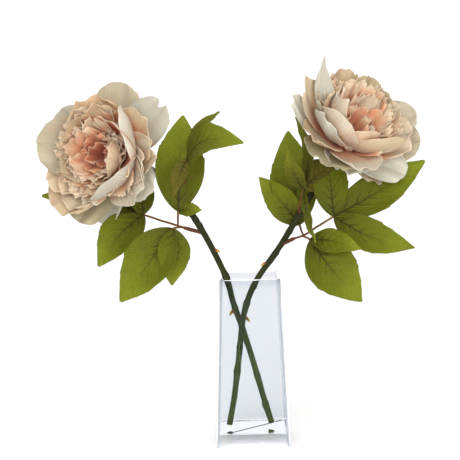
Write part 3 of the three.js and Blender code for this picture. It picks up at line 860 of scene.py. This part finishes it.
# Young green tissue, matt, yellower towards the tips.
patches = noise(tree, object_place(tree), 160.0, 3.0)
sepal_colour = colour_ramp(tree, attribute(tree, "along"), (0.0, "626f2c"), (1.0, "a3a960"))
surface = add_node(tree, "ShaderNodeBsdfPrincipled", inputs={
    "Base Color": mixed(
        tree, 1.0, sepal_colour, rescale(tree, patches, 0.3, 0.7, 0.8, 1.15), "MULTIPLY"),
    "Roughness": 0.6, "IOR": 1.45})
tree.links.new(surface.outputs[0], out.inputs["Surface"])


# The cup's radius, how much it narrows towards the stem, its flat top and its depth, in mm.
CUP_RADIUS, CUP_NARROWS, CUP_TOP, CUP_DEPTH = 8.4, 4.6, 1.5, 10.5


def receptacle(side):
    """The fleshy cup: a sphere flattened above and drawn down to the stem."""
    origin, axes = bloom_axes(side)
    bpy.ops.mesh.primitive_uv_sphere_add(segments=28, ring_count=18, radius=1)
    cup = bpy.context.object
    co = np.array([v.co for v in cup.data.vertices])
    low = np.clip(-co[:, 2], 0, 1)
    above = co[:, 2] > 0
    spread = np.where(above, CUP_RADIUS, CUP_RADIUS - CUP_NARROWS * low ** 0.5)
    local = np.stack([co[:, 0] * spread, co[:, 1] * spread,
                      np.where(above, CUP_TOP * co[:, 2], CUP_DEPTH * co[:, 2])], 1)
    cup.data.vertices.foreach_set("co", ((origin + local @ axes) * MM).ravel())
    along = cup.data.attributes.new("along", "FLOAT", "POINT")
    along.data.foreach_set("value", np.full(len(co), 0.1, np.float32))
    bpy.ops.object.shade_smooth()
    return cup


for side in BLOOM_SEATS:
    sepals = [petal(side, az=20 + 72 * k, length=26, width=15, lean0=104, lean1=66, cup=45, r0=6,
                    z0=-2.6, twist=0, point=0.15, ruffle=0.5, frill=0.2, seed=300 + k, fine=(10, 14))
              for k in range(5)]
    calyx = join([receptacle(side), *sepals], f"sepal_cup_{side}")
    calyx.data.materials.append(sepal_skin)
    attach(calyx, "root")
    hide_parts(f"calyx_{side}")


# ---- Outer and inner petals -------------------------------------------------------------
# The big petals stand round the receptacle in three rings. Guards lean far out, collars form
# a bowl, and cups stand almost upright and close over the middle.
RING_SHAPES = {
    "guard": dict(length=66, width=54, lean0=90, lean1=62, cup=45, curl=14, r0=7.5, z0=0.9,
                  tone=0.2, blush=0.55, inside=0.7, ruffle=1.6, frill=1.0, seed=10, slot="petal_cream"),
    "collar": dict(length=60, width=50, lean0=82, lean1=32, cup=70, r0=6.5, z0=2.6,
                   tone=0.4, blush=0.75, inside=0.75, ruffle=1.6, frill=1.0, seed=20, slot="petal_cream"),
    "cup": dict(length=58, width=48, lean0=66, lean1=-8, cup=75, r0=5.6, z0=4.4,
                tone=0.05, blush=0.95, inside=1.0, outside=0.1, warmth=0.1, ruffle=0.8, frill=0.4,
                seed=30, slot="petal_peach"),
}


def spec(az, length, width, **more):
    """One petal of a table: its place round the axis, its length, its width and the rest."""
    return dict(az=az, length=length, width=width, **more)


# The values for warm light and cream below are painted light on petals inside the bloom, partly their own
# cream.
BIG_PETALS = {
    "left": {
        "guard": [
            spec(41, 68, 46, lean0=92, lean1=74, tone=0.17, notch=0.12),
            spec(80, 63, 52, lean1=64, curl=25, tone=0.35),
            spec(146, 62, 46, tone=0.25),
            spec(249, 64, 60, lean1=64, tone=0.4, green=0.3),
            spec(266, 59, 46, lean0=96, lean1=80, tone=0.0),
            spec(326, 53, 48, lean1=66, tone=0.0, blush=0.4)],
        "collar": [
            spec(172, 68, 62, lean1=38, tone=0.35),
            spec(109, 57, 60, ruffle=3.2, frill=1.6, tone=0.7, warmth=0.5),
            spec(40, 58, 50, lean1=45, tone=0.4, blush=0.9, warmth=0.5),
            spec(2, 57, 46, lean1=50, ruffle=2.6, frill=0.9, waves=1.8, tone=0.3,
                 blush=0.8, warmth=0.4),
            spec(316, 58, 52, lean1=50, ruffle=2.6, frill=0.9, waves=1.8, tone=0.12,
                 blush=0.75, warmth=0.25),
            spec(235, 70, 62, lean1=44, ruffle=2.4, frill=1, tone=0.5, warmth=0.3)],
        "cup": [
            spec(11, 62, 60, lean0=105, lean1=-30, cup=50, shift=20, twist=4,
                 tone=0.0, inside=1.2),
            spec(307, 65, 68, lean0=104, lean1=-35, shift=-4, twist=4, tone=0.14),
            spec(52, 54, 56, lean0=78, lean1=-4, z0=6, blush=1.2, inside=1.3, tone=0.2),
            spec(215, 50, 46, lean1=12, tone=0.5, rag=0.03),
            spec(135, 50, 46, lean1=14, tone=0.6, rag=0.03)],
    },
    "right": {
        "guard": [
            spec(344, 70, 52, lean0=86, lean1=52, curl=0, tone=0.35),
            spec(74, 64, 54, lean0=84, lean1=30, curl=20, tone=0.5, warmth=0.3, rag=0.03),
            spec(104, 57, 46, lean0=84, lean1=38, tone=0.5, warmth=0.3),
            spec(150, 68, 26, lean1=40, curl=6, twist=-20, blush=0.25, tone=0.08),
            spec(212, 60, 56, lean1=55, tone=0.4, green=0.6),
            spec(306, 60, 50, lean1=66, z0=2, tone=0.04, blush=0.4)],
        "collar": [
            spec(2, 72, 46, lean1=36, tone=0.3),
            spec(30, 60, 44, lean0=82, lean1=24, tone=0.5, rag=0.03),
            spec(48, 64, 46, lean0=82, lean1=26, curl=20, tone=0.5, rag=0.03),
            spec(137, 68, 46, lean0=82, lean1=32, point=0.1, twist=-12, tone=0.3,
                 warmth=0.4),
            spec(182, 56, 48, lean1=12, tone=0.05),
            spec(250, 58, 54, lean1=44, inside=0.6, tone=0.05, warmth=0.2)],
        "cup": [
            spec(131, 77, 19, lean0=60, lean1=26, cup=30, point=0.16, twist=-60,
                 tone=0.12, frill=0.2, blush=0.25, warmth=0),
            spec(194, 58, 52, lean0=78, lean1=-12, tone=0.1, outside=0.3, warmth=0.3),
            spec(282, 61, 66, lean0=90, lean1=-22, twist=-18, shift=4, tone=0.4,
                 outside=0.25, warmth=0.4),
            spec(252, 52, 46, lean1=-14, tone=0.3, blush=1.1, outside=0.4, warmth=0.5),
            spec(166, 56, 38, lean1=-16, point=0.1, tone=0.15, warmth=0.4)],
    },
}
# Smaller petals that grow against a big one: the frills beside the white cups, and the tan
# and pointed ones that show between the guards.
SMALL_PETALS = {
    ("left", "collar", 4): [
        spec(10, 56, 32, lean0=88, lean1=38, cup=70, waves=1.3, frill=0.8, tone=0.1,
             warmth=0.7, seed=41),
        spec(350, 53, 34, lean0=88, lean1=30, cup=80, waves=1.3, frill=0.8, tone=0.0,
             warmth=0.5, seed=42)],
    ("left", "collar", 5): [
        spec(338, 54, 32, lean0=88, lean1=34, cup=80, waves=1.3, frill=0.8, tone=0.0,
             warmth=0.5, seed=43),
        spec(326, 56, 32, lean0=88, lean1=42, cup=70, waves=1.3, frill=0.8, tone=0.0,
             warmth=0.4, seed=44)],
    ("left", "collar", 6): [
        spec(212, 62, 46, lean0=80, lean1=38, cup=60, ruffle=2, frill=1, waves=1.9,
             tone=0.3, warmth=0.5, seed=48),
        spec(242, 62, 46, lean0=80, lean1=40, cup=60, ruffle=2, frill=1, waves=1.9,
             tone=0.3, warmth=0.5, seed=49),
        spec(228, 56, 42, lean0=76, lean1=30, cup=70, ruffle=2.2, frill=1, waves=1.7,
             tone=0.2, warmth=0.7, seed=51)],
    ("left", "cup", 2): [
        spec(346, 50, 38, lean0=50, lean1=-14, cup=80, ruffle=1.6, blush=0.6,
             warmth=0.7, tone=0.25, seed=50)],
    ("left", "collar", 2): [
        spec(124, 53, 38, lean0=78, lean1=30, cup=70, ruffle=2.2, frill=1, waves=1.9,
             tone=0.2, warmth=0.6, seed=46),
        spec(94, 52, 40, lean0=76, lean1=26, cup=70, ruffle=2.2, frill=1, waves=1.9,
             tone=0.6, warmth=0.6, seed=47)],
    ("right", "collar", 1): [
        spec(350, 63, 40, lean0=86, lean1=34, cup=70, ruffle=2.4, waves=1.8, tone=0.15,
             blush=0.9, warmth=0.6, seed=96),
        spec(14, 61, 40, lean0=84, lean1=28, cup=70, ruffle=2.4, waves=1.8, tone=0.2,
             blush=0.9, warmth=0.6, seed=97),
        spec(330, 60, 38, lean0=86, lean1=40, cup=70, ruffle=2.4, waves=1.8, tone=0.1,
             blush=0.8, warmth=0.5, seed=98)],
    ("right", "guard", 4): [
        spec(188, 58, 48, lean0=88, lean1=48, tone=0.6, warmth=0.3, seed=91)],
    ("right", "guard", 6): [
        spec(290, 45, 38, lean0=98, lean1=88, point=0.1, tone=0.5, seed=92)],
    ("right", "collar", 6): [
        spec(242, 48, 50, lean0=92, lean1=62, tone=0.0, seed=93)],
    ("right", "collar", 4): [
        spec(128, 62, 24, lean0=80, lean1=26, cup=90, tone=0.4, warmth=0.4, seed=94),
        spec(150, 52, 24, lean0=78, lean1=22, cup=90, tone=0.3, seed=95)],
}
for side, rings in BIG_PETALS.items():
    for ring, rows in rings.items():
        for number, row in enumerate(rows, 1):
            shape = {**RING_SHAPES[ring], **row}
            # Every big petal is ragged in its own way.
            shape["seed"] += number if side == "left" else number + 50
            slot_name = shape.pop("slot")
            small = [petal(side, fine=(20, 26), **extra)
                     for extra in SMALL_PETALS.get((side, ring, number), [])]
            piece = join([petal(side, **shape), *small], f"{ring}_petal_{side}_{number}")
            piece.data.materials.append(petal_skin)
            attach(piece, "root")
            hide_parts(f"{ring}_{side}_{number}")


# ---- Crowns ---------------------------------------------------------------------------
# The ruffled middle of a double peony: dozens of narrow torn petals in three tufts round the
# heart, deep coral low down and cream at their ragged tips.
GOLDEN_TURN = 137.508
TUFT_PETALS = 18
# The middle petals stand inside this share of the crown's radius and are shorter, as are
# those in the crowded part.
MIDDLE = 0.35
MIDDLE_LENGTH = 0.72
CROWDED_LENGTH = 0.6
# The least length of a crown petal, how much longer they stand at the crown's back and where
# that is, how far the outer ones spread, where big petals close over the crown, and how far
# the coral of the middle ones reaches: their own deep coral, and painted shade in the bloom's pit.
CROWNS = {"left": (32, 2, 180, 46, 25, 1.7), "right": (33, 7, 50, 30, 215, 1.15)}
for side, (shortest, taller, back, spread, crowded_side, coral) in CROWNS.items():
    draw = random.Random(900 if side == "left" else 950)
    tufts = {1: [], 2: [], 3: []}
    for k in range(3 * TUFT_PETALS):
        az = (k * GOLDEN_TURN) % 360
        ring_out = (k / (3 * TUFT_PETALS)) ** 0.6
        rise = taller * math.cos(math.radians(az - back))
        # The tall white petals close over one side of the crown, where its petals stay short.
        crowded = math.cos(math.radians(az - crowded_side)) > 0.5 and ring_out > 0.3
        middle = ring_out < MIDDLE
        length = draw.uniform(shortest, shortest + 6) + 12 * ring_out + rise
        length *= CROWDED_LENGTH if crowded else 1
        length *= MIDDLE_LENGTH if middle else 1
        # Each crown petal gets painted warm light, partly its own cream, inside the bloom.
        sheet = petal(
            side, az=az, length=length,
            width=draw.uniform(18, 28) + 6 * ring_out, lean0=25 + 50 * ring_out,
            lean1=draw.uniform(-12, 8) + spread * ring_out, cup=draw.uniform(30, 90),
            curl=draw.uniform(-20, 40), r0=2.5 + 6 * ring_out, z0=5, twist=draw.uniform(-22, 22),
            claw=0.3, widest=0.68, notch=draw.uniform(0, 0.22), rag=draw.uniform(0.03, 0.06),
            ruffle=draw.uniform(1.2, 3.2), frill=draw.uniform(0.6, 1.4), waves=draw.uniform(1.2, 2.4),
            blush=draw.uniform(0.75, 1.1) * (coral if middle else 1),
            warmth=draw.uniform(0.4, 0.9), tone=draw.uniform(0.0, 0.3),
            seed=1000 + k, fine=(26, 26), skew=draw.uniform(-0.15, 0.15))
        tufts[int(az // 120) + 1].append(sheet)
    for number, sheets in tufts.items():
        tuft = join(sheets, f"crown_tuft_{side}_{number}")
        tuft.data.materials.append(petal_skin)
        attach(tuft, "root")
        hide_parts(f"crown_{side}_{number}")


# ---- Hearts ---------------------------------------------------------------------------
# The small core that the crown petals stand round: a knot of tight folded tissue.
for side in BLOOM_SEATS:
    folds = [petal(side, az=72 * k, length=14, width=9, lean0=20, lean1=-25, cup=120, r0=1.5, z0=0.5,
                   claw=0.5, rag=0.05, ruffle=0.4, frill=0.4, blush=3, seed=700 + k, fine=(10, 12))
             for k in range(5)]
    heart = join(folds, f"heart_{side}_folds")
    heart.data.materials.append(petal_skin)
    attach(heart, "root")
    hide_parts(f"heart_{side}")
